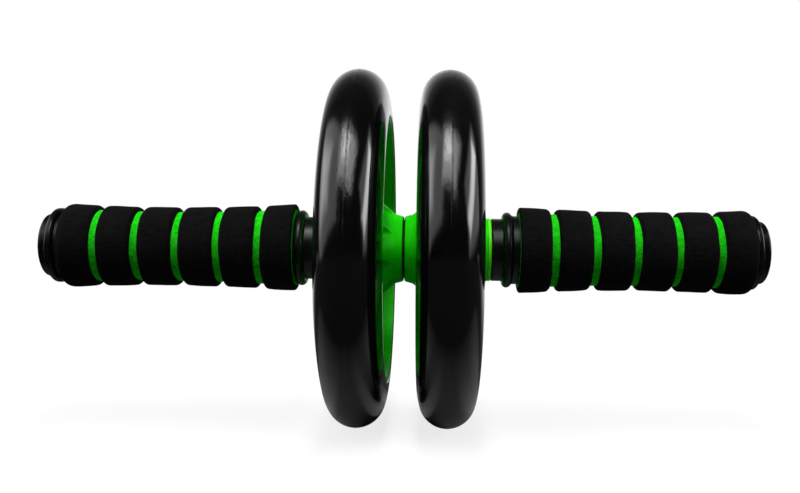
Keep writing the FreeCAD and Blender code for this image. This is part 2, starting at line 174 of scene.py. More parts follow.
# Moulded gloss rubber: smudges drift the gloss, slow swells and a fine skin bend it, and a strip
# along the parting line is scuffed, less with the distance from it.
def makeTyreBlack(plane):
    f = tyreFinish
    material, tree, shader, spot = startMaterial("tyreGlossBlack")
    smudge = noiseOf(tree, spot, f["smudgeScale"], detail=4.0)
    near = rangeOf(tree, awayFromPlane(tree, spot, plane), 1.0, 0.0, 0.0, f["scuffReach"])
    marks = noiseOf(tree, stretched(tree, spot, f["scuffScale"]), 1.0, detail=5.0, rough=0.6)
    scuff = mathOf(tree, "MULTIPLY", marks, near)
    swell = bumpOf(tree, noiseOf(tree, spot, f["swellScale"], detail=1.0), f["swellDepth"])
    grain = bumpOf(tree, noiseOf(tree, spot, f["grainScale"]), f["grainDepth"], under=swell)
    rough = mathOf(tree, "ADD", rangeOf(tree, smudge, f["smooth"], f["dull"]),
                   mathOf(tree, "MULTIPLY", scuff, f["scuffRough"]))
    feed(tree, shader, twoTones(tree, smudge, f["dark"], f["pale"]), rough,
         bumpOf(tree, scuff, f["scuffDepth"], under=grain))
    return material


# paintedShadeDepth and paintedShadeReach: painted shade in the gap between the two bosses, darkest at
# the middle of the axle
plastic = dict(wearScale=210.0, flowFrom=0.32, flowTo=0.68, paintedShadeDepth=0.03)
greenFinish = dict(deep=(0.0065, 0.500, 0.0010), bright=(0.0120, 0.630, 0.0020),
                   smooth=0.42, dull=0.56, gloss=0.07, flowScale=(26.0, 60.0, 60.0),
                   skinScale=1300.0, skinDepth=0.000006, paintedShadeReach=(0.0003, 0.0011))
ringFinish = dict(deep=(0.075, 0.600, 0.008), bright=(0.105, 0.720, 0.012),
                  smooth=0.36, dull=0.48, gloss=0.20, flowScale=(60.0, 40.0, 40.0),
                  skinScale=1500.0, skinDepth=0.000006)
handleFinish = dict(deep=(0.0018, 0.0018, 0.0020), bright=(0.0042, 0.0042, 0.0045),
                    smooth=0.24, dull=0.36, gloss=0.20, flowScale=(70.0, 40.0, 40.0),
                    skinScale=1700.0, skinDepth=0.000012)
capFinish = dict(deep=(0.0018, 0.0018, 0.0020), bright=(0.0038, 0.0038, 0.0041),
                 smooth=0.14, dull=0.24, gloss=0.20, flowScale=(50.0, 50.0, 50.0),
                 skinScale=1500.0, skinDepth=0.000008)


# Moulded plastic: flow marks drift the colour, wear drifts the gloss, and a fine skin breaks the
# highlight. A finish with painted seam shade goes dark and dull near the middle of the axle,
# between the two distances that it gives: painted shade for the gap between the two bosses.
def makePlastic(name, f):
    material, tree, shader, spot = startMaterial(name)
    flow = noiseOf(tree, stretched(tree, spot, f["flowScale"]), 1.0, detail=5.0, rough=0.6)
    wear = noiseOf(tree, spot, plastic["wearScale"], detail=4.0, rough=0.65)
    skin = bumpOf(tree, noiseOf(tree, spot, f["skinScale"], detail=2.0), f["skinDepth"])
    colour = twoTones(tree, flow, f["deep"], f["bright"], plastic["flowFrom"], plastic["flowTo"])
    rough = rangeOf(tree, wear, f["smooth"], f["dull"])
    # painted shade: the colour darkens near the middle of the axle, where the gap between the two
    # bosses lies in shade
    if "paintedShadeReach" in f:
        away = awayFromPlane(tree, spot, 0.0)
        shade = rangeOf(tree, away, plastic["paintedShadeDepth"], 1.0, *f["paintedShadeReach"], "SMOOTHSTEP")
        shaded = {0: colour, "Scale": shade}
        colour = addNode(tree, "ShaderNodeVectorMath", shaded, operation="SCALE").outputs[0]
        rough = mathOf(tree, "MAXIMUM", rough, mathOf(tree, "SUBTRACT", 1.0, shade))
    feed(tree, shader, colour, rough, skin)
    shader.inputs["Specular IOR Level"].default_value = f["gloss"]
    return material


foamMix = dict(cells=0.22, patch=0.18, crease=0.60, patchScale=90.0, toneFrom=0.36, toneTo=0.62,
               smooth=0.80, dull=0.97)
blackFoam = dict(deep=(0.0003, 0.0003, 0.0004), bright=(0.0044, 0.0044, 0.0046), gloss=0.05,
                 poreScale=1500.0, poreDepth=0.00007,
                 creaseScale=(230.0, 800.0, 800.0), creaseDepth=0.00016)
greenFoam = dict(deep=(0.0035, 0.350, 0.0013), bright=(0.0110, 0.690, 0.0050), gloss=0.10,
                 poreScale=1500.0, poreDepth=0.00007,
                 creaseScale=(480.0, 560.0, 560.0), creaseDepth=0.00012)


# Closed-cell foam: small cells from a Voronoi distance, patches, and fine creases drawn out along
# the handle. The tone is the three added by their shares, the relief is the cells and the creases.
def makeFoam(name, f):
    material, tree, shader, spot = startMaterial(name)
    inputs = {"Vector": spot, "Scale": f["poreScale"], "Randomness": 1.0}
    cells = addNode(tree, "ShaderNodeTexVoronoi", inputs).outputs["Distance"]
    crease = noiseOf(tree, stretched(tree, spot, f["creaseScale"]), 1.0, detail=3.0, rough=0.6)
    patch = noiseOf(tree, spot, foamMix["patchScale"], detail=4.0)
    tone = mathOf(tree, "ADD", mathOf(tree, "MULTIPLY", cells, foamMix["cells"]),
                  mathOf(tree, "MULTIPLY", patch, foamMix["patch"]))
    tone = mathOf(tree, "ADD", tone, mathOf(tree, "MULTIPLY", crease, foamMix["crease"]))
    pores = bumpOf(tree, cells, f["poreDepth"])
    colour = twoTones(tree, tone, f["deep"], f["bright"], foamMix["toneFrom"], foamMix["toneTo"])
    feed(tree, shader, colour, rangeOf(tree, crease, foamMix["smooth"], foamMix["dull"]),
         bumpOf(tree, crease, f["creaseDepth"], under=pores))
    shader.inputs["Specular IOR Level"].default_value = f["gloss"]
    return material


steelFinish = dict(dark=(0.10, 0.10, 0.105), pale=(0.21, 0.21, 0.215), smooth=0.42, dull=0.58,
                   lineScale=(40.0, 2600.0, 2600.0), lineDepth=0.000006)


# Drawn steel tube, dark with oil: fine lines along its length from a noise stretched along X.
def makeSteel():
    f = steelFinish
    material, tree, shader, spot = startMaterial("axleDrawnSteel")
    lines = noiseOf(tree, stretched(tree, spot, f["lineScale"]), 1.0, detail=4.0)
    feed(tree, shader, twoTones(tree, lines, f["dark"], f["pale"]),
         rangeOf(tree, lines, f["smooth"], f["dull"]), bumpOf(tree, lines, f["lineDepth"]))
    shader.inputs["Metallic"].default_value = 1.0
    return material


treadLow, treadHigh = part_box("right_tyre")
tyreBlack = makeTyreBlack((treadLow.x + treadHigh.x) / 2)
hubGreen = makePlastic("hubGlossGreen", greenFinish)
ringGreen = makePlastic("bushSatinGreen", ringFinish)
handleBlack = makePlastic("handleSatinBlack", handleFinish)
capBlack = makePlastic("capGlossBlack", capFinish)
foamBlack = makeFoam("gripFoamBlack", blackFoam)
foamGreen = makeFoam("gripFoamGreen", greenFoam)
axleSteel = makeSteel()
print("materials made:", len(bpy.data.materials))


# Quads of a grid: each point joins its next across, its next along, and the one between them.
def quadsOf(rows, columns, wrapRows, wrapColumns):
    row, column = np.meshgrid(np.arange(rows if wrapRows else rows - 1),
                              np.arange(columns if wrapColumns else columns - 1), indexing="ij")
    nextRow, nextColumn = (row + 1) % rows, (column + 1) % columns
    return np.stack([row * columns + column, row * columns + nextColumn,
                     nextRow * columns + nextColumn, nextRow * columns + column], -1).reshape(-1, 4)


# A piece from grids of points: edges that meet are joined by place, and faces turned outwards.
def makePiece(name, patches, body, material, sharpAngle=42.0, joinWithin=2e-6):
    points, faces, count = [], [], 0
    for grid, wrapRows, wrapColumns in patches:
        faces.append(quadsOf(grid.shape[0], grid.shape[1], wrapRows, wrapColumns) + count)
        points.append(grid.reshape(-1, 3))
        count += grid.shape[0] * grid.shape[1]
    mesh = bpy.data.meshes.new(name)
    mesh.from_pydata(np.concatenate(points).tolist(), [], np.concatenate(faces).tolist())
    joined = bmesh.new()
    joined.from_mesh(mesh)
    bmesh.ops.remove_doubles(joined, verts=joined.verts, dist=joinWithin)
    bmesh.ops.recalc_face_normals(joined, faces=joined.faces)
    joined.to_mesh(mesh)
    joined.free()
    mesh.shade_smooth()
    mesh.set_sharp_from_angle(angle=math.radians(sharpAngle))
    mesh.materials.append(material)
    piece = bpy.data.objects.new(name, mesh)
    scene.collection.objects.link(piece)
    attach(piece, body)
    return piece


# Surface of revolution: each profile point, a place along X and a radius, goes round a circle.
def turned(profile, angles):
    across, radius = profile[:, :1], profile[:, 1:2]
    return np.stack([across + 0 * angles, radius * np.cos(angles), radius * np.sin(angles)], -1)


# Even steps round the whole circle, without the last one, which is the first again.
def roundAngles(count):
    return np.linspace(0, fullTurn, count, endpoint=False)


# A turned skin for one side, from a profile in millimetres outwards from the axle's middle.
def turnedSkin(profile, sign, around, closed=True):
    return [(turned(profile * mm * (sign, 1), roundAngles(around)), closed, True)]


# A box's two ends along the axle, in millimetres from the middle outwards, and its radius.
def reachOf(low, high):
    return (*sorted((abs(low.x) / mm, abs(high.x) / mm)), high.z / mm)


# An outline from corners (place, radius, rounding). A corner becomes an arc: its points are the two
# end spokes weighted by the sines of the turn left and the turn gone. Straight runs get points near
# their ends and middle.
def roundedPath(corners, closed, steps=7, holds=(0.05, 0.5, 0.95), leastRound=1e-5):
    corners = np.asarray(corners, float)
    spots, rounding = corners[:, :2], np.maximum(corners[:, 2:], leastRound)
    back, ahead = np.roll(spots, 1, 0) - spots, np.roll(spots, -1, 0) - spots
    back /= np.linalg.norm(back, axis=1, keepdims=True)
    ahead /= np.linalg.norm(ahead, axis=1, keepdims=True)
    opening = np.arccos(np.clip((back * ahead).sum(1, keepdims=True), -1, 1)) / 2
    middle = back + ahead
    middle /= np.linalg.norm(middle, axis=1, keepdims=True)
    centre = spots + middle * rounding / np.sin(opening)
    first = spots + back * rounding / np.tan(opening) - centre
    last = spots + ahead * rounding / np.tan(opening) - centre
    sweep = (math.pi - 2 * opening)[:, :, None]
    share = np.linspace(0, 1, steps + 1)[None, :, None]
    arcs = centre[:, None] + (np.sin((1 - share) * sweep) * first[:, None]
                              + np.sin(share * sweep) * last[:, None]) / np.sin(sweep)
    if not closed:
        arcs[0], arcs[-1] = spots[0], spots[-1]
    step = np.asarray(holds)[None, :, None]
    runs = arcs[:, -1:] * (1 - step) + np.roll(arcs, -1, 0)[:, :1] * step
    path = np.concatenate([arcs, runs], 1).reshape(-1, 2)
    return path if closed else path[steps:-(len(holds) + steps)]


# Where a CAD node's skin lies, in millimetres from the middle of the axle outwards: the radius at
# each place along it, of the faces that look away from the axle (way 1) or towards it (way -1).
def nodeSkin(name, way, leastLook=0.5):
    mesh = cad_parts[name].data
    spots, looks = np.empty(len(mesh.vertices) * 3), np.empty(len(mesh.polygons) * 3)
    corners, sizes = np.empty(len(mesh.loops), int), np.empty(len(mesh.polygons), int)
    mesh.vertices.foreach_get("co", spots)
    mesh.polygons.foreach_get("normal", looks)
    mesh.polygons.foreach_get("loop_total", sizes)
    mesh.loops.foreach_get("vertex_index", corners)
    spots, looks = spots.reshape(-1, 3)[corners], np.repeat(looks.reshape(-1, 3), sizes, 0)
    radius = np.hypot(spots[:, 1], spots[:, 2])
    outward = (spots[:, 1] * looks[:, 1] + spots[:, 2] * looks[:, 2]) / radius
    kept = outward * way > leastLook
    place, group = np.unique(np.round(np.abs(spots[kept, 0]), decimals=5), return_inverse=True)
    skin = np.zeros(len(place))
    np.maximum.at(skin, group, radius[kept])
    return place / mm, skin / mm


# Tyres
tyre = dict(depth=22.45 * mm, crownAngle=148.0, footRound=0.7 * mm, ridgeRise=0.10 * mm,
            ridgeReach=0.28 * mm, ridgeTurn=0.09, ridgeSteps=25, around=384, crownSteps=57,
            flankSteps=17, footSteps=5, underSteps=7, underShare=0.9, sharpAngle=50.0)


# The crown arc leans out by half of its angle at each end. A flank arc goes on from there and
# stands square on the rim: both radii follow from the tyre's half width and depth. A thin parting
# ridge runs along the crown.
def tyreProfile(halfWidth, radius):
    t = tyre
    lean = math.radians(t["crownAngle"] / 2)
    sine, cosine = math.sin(lean), math.cos(lean)
    crown = ((halfWidth - t["depth"] * (1 - sine) / cosine)
             / (sine - (1 - sine) * (1 - cosine) / cosine))
    flank = (t["depth"] - crown * (1 - cosine)) / cosine
    seat = radius - t["depth"]
    turn = np.union1d(np.linspace(-lean, lean, t["crownSteps"]),
                      np.linspace(-t["ridgeTurn"], t["ridgeTurn"], t["ridgeSteps"]))
    crownX = crown * np.sin(turn)
    ridge = t["ridgeRise"] * (np.exp(-(crownX / t["ridgeReach"]) ** 2) - 1)
    top = np.stack([crownX, radius - crown * (1 - np.cos(turn)) + ridge], -1)
    rise = np.linspace(math.asin(t["footRound"] / flank), math.pi / 2 - lean, t["flankSteps"])[:-1]
    wall = np.stack([halfWidth - flank * (1 - np.cos(rise)),
                     seat + flank * np.sin(rise) + ridge[0]], -1)
    corner = np.linspace(math.pi / 2, 0, t["footSteps"])[:-1]
    foot = np.stack([halfWidth - t["footRound"] * (1 - np.cos(corner)),
                     seat + t["footRound"] * (1 - np.sin(corner))], -1)
    right = np.concatenate([foot, wall])
    left = right[::-1] * (-1, 1)
    under = np.linspace(-t["underShare"], t["underShare"], t["underSteps"]) * halfWidth
    bottom = np.stack([under, np.full(t["underSteps"], seat)], -1)
    return np.concatenate([bottom, right, top[::-1], left])


for side in sides:
    low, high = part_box(f"{side}_tyre")
    profile = tyreProfile((high.x - low.x) / 2, high.z)
    profile[:, 0] += (low.x + high.x) / 2
    piece = makePiece(f"{side}Tyre", [(turned(profile, roundAngles(tyre["around"])), True, True)],
                      f"{side}_wheel", tyreBlack, tyre["sharpAngle"])
    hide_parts(f"{side}_tyre")
print("tyres made")


# Hubs
hub = dict(spokes=8, bossRadius=16.5, bossDraft=1.15, bossRound=1.2, bore=12.15, boreRound=0.4,
           innerSetback=4.3, outerSetback=1.7, innerFootRound=2.5, outerFootRound=1.2,
           flareHeight=7.5, flareRound=4.0, flareSteps=16, webHalf=7.0, webFootRound=0.9, webSteps=9,
           rimInset=0.5, rimWall=3.0, shoulder=9.0, shoulderRound=2.0, lipRound=1.0, seatRound=0.3,
           tyreDepth=22.5, tongue=4.0, spokeHalf=6.0, tipRound=2.0, cornerRound=6.0, margin=2.0,
           edgeRound=0.5, slotFloor=3.5, slotHalf=3.5, slotBossGap=7.0, slotRimGap=7.5, slotEdge=0.4,
           slotDraft=0.2, slotFillet=0.7, slotRing=1.8, slotTurn=45, slotSteps=8, tipSteps=6,
           sideSteps=22, cornerSteps=12, windowSteps=14, spokeSteps=16, bossSteps=16, edgeSteps=5)


# An arc: the centre plus the radius times the cosine and sine of each angle, start to finish.
def circleArc(centre, radius, start, finish, steps):
    turn = np.radians(np.linspace(start, finish, steps + 1))
    return np.stack([centre[0] + radius * np.cos(turn), centre[1] + radius * np.sin(turn)], -1)


# A spoked wheel in its own plane, in millimetres, axle at the middle and one spoke along the first
# axis. Every face is a grid between two outlines: from a spoke's slot out to the windows, and from
# one face of a window to the other.
def hubPatches(innerReach, outerReach, rimRadius, halfWidth):
    h = hub
    pitch = 360 / h["spokes"]
    edge = h["edgeRound"]
    seat = rimRadius - h["tyreDepth"]
    floor = seat - h["tongue"] - h["rimWall"]
    lip, rim = seat - h["rimWall"], halfWidth - h["rimInset"]
    reach = floor - h["margin"]
    flareTop = h["bossRadius"] + h["flareHeight"]
    innerFoot = (innerReach - h["innerSetback"], h["bossRadius"] + h["bossDraft"])
    outerFoot = (outerReach - h["outerSetback"], h["bossRadius"])
    tipTop = h["spokeHalf"] + h["tipRound"]
    tipCentre = (tipTop / math.tan(math.radians(pitch / 2)), tipTop)
    ringRadius = math.hypot(*tipCentre) - h["tipRound"] - edge
    cornerTop = h["spokeHalf"] + h["cornerRound"]
    cornerCentre = (math.sqrt((reach - h["cornerRound"]) ** 2 - cornerTop ** 2), cornerTop)
    lean = math.degrees(math.atan2(cornerCentre[1], cornerCentre[0]))

    # Height of a web face at a radius: down the flare, round its foot, then a taper to the rim.
    def faceHeight(foot, radius):
        path = roundedPath([(*foot, 0), (foot[0] - h["flareHeight"], flareTop, h["flareRound"]),
                            (h["webHalf"], floor, 0)], False, h["flareSteps"])
        return np.interp(radius, path[:, 1], path[:, 0])

    # Half of a window's outline, grown a little: round its tip, along the spoke, round the corner.
    def halfWindow(grown):
        along = np.linspace(tipCentre[0], cornerCentre[0], h["sideSteps"] + 1)[1:-1]
        return np.concatenate([
            circleArc(tipCentre, h["tipRound"] + grown, 180 + pitch / 2, 270, h["tipSteps"]),
            np.stack([along, np.full(len(along), h["spokeHalf"] - grown)], -1),
            circleArc(cornerCentre, h["cornerRound"] + grown, 270, 360 + lean, h["cornerSteps"])])

    # The whole outline: the half, the arc by the rim, and the half mirrored about the middle line.
    def windowLoop(grown):
        half = halfWindow(grown)
        turn = math.radians(pitch)
        mirror = np.array([[math.cos(turn), math.sin(turn)], [math.sin(turn), -math.cos(turn)]])
        rimArc = circleArc((0, 0), reach + grown, lean, pitch - lean, h["windowSteps"])[1:-1]
        return np.concatenate([half, rimArc, (half @ mirror)[::-1][:-1]])

    # The slot's outline at a radius about its middle line, with as many points as a spoke's edge.
    slotNear, slotFar = flareTop + h["slotBossGap"], floor - h["slotRimGap"]
    halfCount = len(halfWindow(0))

    def slotLoop(radius):
        wide, end = h["slotHalf"], h["slotTurn"]
        path = np.concatenate([circleArc((slotNear, 0), wide, 180 - end, 90, h["slotSteps"]),
                               circleArc((slotFar, 0), wide, 90, end, h["slotSteps"])])
        gone = np.concatenate([[0], np.cumsum(np.linalg.norm(np.diff(path, axis=0), axis=1))])
        share = np.linspace(0, gone[-1], halfCount)
        upper = np.stack([np.interp(share, gone, path[:, 0]),
                          np.interp(share, gone, path[:, 1])], -1)
        farArc = circleArc((slotFar, 0), wide, end, -end, h["spokeSteps"])[1:-1]
        nearArc = circleArc((slotNear, 0), wide, 180 + end, 180 - end, h["bossSteps"])[1:-1]
        loop = np.concatenate([upper, farArc, (upper * (1, -1))[::-1], nearArc])
        middle = np.stack([np.clip(loop[:, 0], slotNear, slotFar), 0 * loop[:, 0]], -1)
        return middle + (loop - middle) * radius / wide

    # The outline round one spoke's face: two half windows, and an arc each at the rim and the boss.
    def spokeLoop():
        half = halfWindow(edge)
        rimArc = circleArc((0, 0), reach + edge, lean, -lean, h["spokeSteps"])[1:-1]
        bossArc = circleArc((0, 0), ringRadius, -pitch / 2, pitch / 2, h["bossSteps"])[1:-1]
        return np.concatenate([half, rimArc, (half * (1, -1))[::-1], bossArc])

    # A flat outline set at a height along the axle.
    def lifted(flat, height):
        return np.concatenate([np.broadcast_to(height, flat.shape[:-1])[..., None], flat], -1)

    quarterTurn = np.linspace(0, math.pi / 2, h["edgeSteps"])
    feet = {-1: innerFoot, 1: outerFoot}
    oneSector = []
    for way, foot in feet.items():
        share = np.linspace(0, 1, h["webSteps"])[:, None, None]
        flat = slotLoop(h["slotHalf"] + h["slotEdge"]) * (1 - share) + spokeLoop() * share
        web = lifted(flat, way * faceHeight(foot, np.linalg.norm(flat, axis=-1)))
        rows = []
        for turn in quarterTurn:  # the slot's rounded brim
            flat = slotLoop(h["slotHalf"] + h["slotEdge"] * (1 - math.sin(turn)))
            top = faceHeight(foot, np.linalg.norm(flat, axis=-1))
            rows.append(lifted(flat, way * (top - h["slotEdge"] * (1 - math.cos(turn)))))
        for turn in quarterTurn:  # its drafted wall runs into the fillet round the floor
            flat = slotLoop(h["slotHalf"] - h["slotDraft"] - h["slotFillet"] * (1 - math.cos(turn)))
            up = h["slotFloor"] + h["slotFillet"] * (1 - math.sin(turn))
            rows.append(lifted(flat, way * up))
        for radius in (h["slotRing"], 0.0):  # the floor closes on its middle line
            rows.append(lifted(slotLoop(radius), way * h["slotFloor"]))
        oneSector += [(web, False, True), (np.stack(rows), False, True)]
    # A window's wall, rounded at both faces.
    rows = []
    for way, turns in ((-1, quarterTurn), (1, quarterTurn[::-1])):
        for turn in turns:
            flat = windowLoop(edge * (1 - math.sin(turn)))
            top = faceHeight(feet[way], np.linalg.norm(flat, axis=-1))
            rows.append(lifted(flat, way * (top - edge * (1 - math.cos(turn)))))
    oneSector.append((np.stack(rows), False, True))

    patches = []
    for number in range(h["spokes"]):
        turn = math.radians(number * pitch)
        sine, cosine = math.sin(turn), math.cos(turn)
        spin = np.array([[1, 0, 0], [0, cosine, sine], [0, -sine, cosine]])
        patches += [(grid @ spin, *wraps) for grid, *wraps in oneSector]
    rimTurn = np.concatenate([np.linspace(-lean, lean, h["spokeSteps"], endpoint=False),
                              np.linspace(lean, pitch - lean, h["windowSteps"], endpoint=False)])
    bossTurn = np.linspace(-pitch / 2, pitch / 2, h["bossSteps"], endpoint=False)
    turnOf = np.arange(h["spokes"])[:, None] * pitch
    rimStart, rimEnd = [faceHeight(foot, reach + edge) for foot in (innerFoot, outerFoot)]
    bossStart, bossEnd = [faceHeight(foot, ringRadius) for foot in (innerFoot, outerFoot)]
    rimPath = roundedPath([
        (-rimStart, reach + edge, 0), (-h["webHalf"], floor, h["webFootRound"]),
        (-h["shoulder"], floor, h["shoulderRound"]), (-rim, lip, h["lipRound"]),
        (-rim, seat, h["seatRound"]), (rim, seat, h["seatRound"]), (rim, lip, h["lipRound"]),
        (h["shoulder"], floor, h["shoulderRound"]), (h["webHalf"], floor, h["webFootRound"]),
        (rimEnd, reach + edge, 0)], False)
    bossPath = roundedPath([
        (-bossStart, ringRadius, 0), (-innerFoot[0], innerFoot[1], h["innerFootRound"]),
        (-innerReach, h["bossRadius"], h["bossRound"]), (-innerReach, h["bore"], h["boreRound"]),
        (outerReach, h["bore"], h["boreRound"]), (outerReach, h["bossRadius"], h["bossRound"]),
        (outerFoot[0], outerFoot[1], h["outerFootRound"]), (bossEnd, ringRadius, 0)], False)
    patches.append((turned(rimPath, np.radians((turnOf + rimTurn).ravel())), False, True))
    patches.append((turned(bossPath, np.radians((turnOf + bossTurn).ravel())), False, True))
    return patches


for side, sign in sides.items():
    low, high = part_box(f"{side}_hub")
    tyreLow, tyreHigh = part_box(f"{side}_tyre")
    plane = (tyreLow.x + tyreHigh.x) / 2
    ends = sorted(abs(end) for end in (low.x, high.x))
    patches = hubPatches((abs(plane) - ends[0]) / mm, (ends[1] - abs(plane)) / mm, tyreHigh.z / mm,
                         (tyreHigh.x - tyreLow.x) / 2 / mm)
    placed = [(grid * mm * (sign, sign, 1) + (plane, 0, 0), *wraps) for grid, *wraps in patches]
    piece = makePiece(f"{side}Hub", placed, f"{side}_wheel", hubGreen)
    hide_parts(f"{side}_hub")
print("hubs made")


# Bush rings: a turned section, the flange that shows on each boss and its sleeve in the hub.
ring = dict(bore=10.1, boreRound=0.2, sleeve=12.1, sleeveRound=0.3, sleeveFoot=0.1, flange=1.7,
            backRound=0.25, edge=0.5, mouthRound=0.3, around=192)
for side, sign in sides.items():
    r = ring
    inner, outer, radius = reachOf(*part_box(f"{side}_outer_bush"))
    seat = outer - r["flange"]
    profile = roundedPath([
        (inner, r["bore"], r["boreRound"]), (inner, r["sleeve"], r["sleeveRound"]),
        (seat, r["sleeve"], r["sleeveFoot"]), (seat, radius, r["backRound"]),
        (outer, radius, r["edge"]), (outer, r["bore"], r["mouthRound"])], True)
    piece = makePiece(f"{side}BushRing", turnedSkin(profile, sign, r["around"]),
                      f"{side}_wheel", ringGreen)
    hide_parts(f"{side}_outer_bush")
print("bush rings made")


# Handles
handle = dict(neckRadius=15.8, neckLength=5.6, neckRound=0.6, neckFoot=0.5, beadRadius=19.1,
              beadWidth=4.6, beadRound=2.2, beadFoot=0.45, footRise=0.02, bore=10.1, boreRound=0.4,
              endBore=13.0, endDepth=25.0, endRound=0.5, seatInset=1.0, seatSteps=25, around=224)


# A turned section: neck, bead and shoulder, then the foam's waisted seat, read from the CAD skin.
def handleProfile(start, finish, place, outside):
    h = handle
    neckEnd = start + h["neckLength"]
    beadEnd = neckEnd + h["beadWidth"]
    seat = np.linspace(beadEnd + h["seatInset"], finish - h["seatInset"], h["seatSteps"])
    seatRadius = np.interp(seat, place, outside)
    bottom = finish - h["endDepth"]
    head = roundedPath([
        (bottom, h["bore"], 0), (start, h["bore"], h["boreRound"]),
        (start, h["neckRadius"], h["neckRound"]), (neckEnd, h["neckRadius"], h["neckFoot"]),
        (neckEnd, h["beadRadius"], h["beadRound"]), (beadEnd, h["beadRadius"], h["beadRound"]),
        (beadEnd, seatRadius[0] + h["footRise"], h["beadFoot"]),
        (seat[0], seatRadius[0], 0)], False)
    tail = roundedPath([
        (seat[-1], seatRadius[-1], 0), (finish, seatRadius[-1], h["endRound"]),
        (finish, h["endBore"], h["boreRound"]), (bottom, h["endBore"], 0)], False)
    return np.concatenate([head, np.stack([seat, seatRadius], -1)[1:-1], tail])


for side, sign in sides.items():
    start, finish, _ = reachOf(*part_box(f"{side}_handle"))
    profile = handleProfile(start, finish, *nodeSkin(f"{side}_handle", 1))
    piece = makePiece(f"{side}Handle", turnedSkin(profile, sign, handle["around"]), "handle_frame",
                      handleBlack)
    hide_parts(f"{side}_handle")
print("handles made")


# End caps: a turned section, a stepped plug with a shallow dish in its end and a hollow barrel.
cap = dict(barrelLength=14.0, barrelRadius=12.95, barrelFoot=0.2, barrelRound=0.6,
           cupRadius=10.45, cupRound=0.3, cupFloor=0.6, flange=3.2, flangeRound=1.3, backRound=0.8,
           step=3.0, stepFoot=0.4, edgeRound=1.2, dishRadius=11.5, dishDepth=0.5, dishSlope=0.6,
           dishRound=0.4, around=192)
for side, sign in sides.items():
    c = cap
    inner, outer, radius = reachOf(*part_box(f"{side}_end_cap"))
    face, dish = inner + c["barrelLength"], outer - c["dishDepth"]
    step, disc = face + c["flange"], radius - c["step"]
    profile = roundedPath([
        (dish, 0, 0), (dish, c["dishRadius"] - c["dishSlope"], c["dishRound"]),
        (outer, c["dishRadius"], c["dishRound"]), (outer, disc, c["edgeRound"]),
        (step, disc, c["stepFoot"]), (step, radius, c["flangeRound"]), (face, radius, c["backRound"]),
        (face, c["barrelRadius"], c["barrelFoot"]), (inner, c["barrelRadius"], c["barrelRound"]),
        (inner, c["cupRadius"], c["cupRound"]), (face, c["cupRadius"], c["cupFloor"]),
        (face, 0, 0)], False)
    piece = makePiece(f"{side}EndCap", turnedSkin(profile, sign, c["around"], closed=False),
                      "handle_frame", capBlack)
    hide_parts(f"{side}_end_cap")
print("end caps made")


# Foam grips: a green sleeve and six black bands on it with rounded shoulders, in millimetres.
foam = dict(bands=6, thickness=2.4, shoulder=2.0, endShoulder=3.4, cutShoulder=1.1, wall=0.30,
            crown=0.16, sway=0.22, heldSway=0.2, wave=0.13, wrap=1.5, wrapLift=0.1, overSleeve=0.02,
            around=256, shoulderSteps=9, topSteps=14, sharpAngle=70.0, sleeveEdge=0.4,
            sleeveSteps=140, underEvery=10, sleeveAround=224, seed=41)
foamWave = dict(turns=np.array([1, 2, 3, 5, 7, 9]),
                length=np.array([90.0, 47.0, 31.0, 22.0, 15.0, 11.0]),
                share=np.array([0.9, 0.8, 0.6, 0.4, 0.25, 0.2]))
chance = np.random.default_rng(foam["seed"])


# Slow waves of the foam's skin: sines round the grip times cosines along it, with seeded phases.
def foamWaves(place, angle, depth):
    w = foamWave
    phase = chance.uniform(0, fullTurn, (2, len(w["turns"])))
    wave = (np.sin(angle[..., None] * w["turns"] + phase[0])
            * np.cos(place[..., None] * fullTurn / w["length"] + phase[1]))
    return depth * (wave * w["share"]).sum(-1)


# A band's section: a short upright wall at each end, a quarter ellipse over each shoulder, and a
# top crowned by a parabola.
def bandSection(start, finish, startRound, finishRound):
    f = foam
    turn = np.linspace(0, math.pi / 2, f["shoulderSteps"])
    ends = f["thickness"] * (f["wall"] + (1 - f["wall"]) * np.sin(turn))
    top = np.linspace(start + startRound, finish - finishRound, f["topSteps"] + 2)[1:-1]
    place = np.concatenate([[start], start + startRound * (1 - np.cos(turn)), top,
                            (finish - finishRound * (1 - np.cos(turn)))[::-1], [finish]])
    height = np.concatenate([[0], ends, np.full(f["topSteps"], f["thickness"]), ends[::-1], [0]])
    along = (place - start) / (finish - start)
    return place, height + f["crown"] * (1 - (2 * along - 1) ** 2) * (height > 0)


# The sleeve's section: the CAD sleeve's outer skin, back along its inner one, its rims bevelled.
def sleeveSection(place, outside, inside):
    edge = foam["sleeveEdge"]
    start, finish = place[0], place[-1] - foam["wrap"]
    along = np.linspace(start + edge, finish - edge, foam["sleeveSteps"])
    back = along[::-foam["underEvery"]]
    over = np.stack([along, np.interp(along, place, outside)], -1)
    under = np.stack([back, np.interp(back, *inside)], -1)
    startRim = [[start, under[-1, 1]], [start, over[0, 1] - edge]]
    finishRim = [[finish, over[-1, 1] - edge], [finish, under[0, 1]]]
    return np.concatenate([startRim, over, finishRim, under[1:-1]])


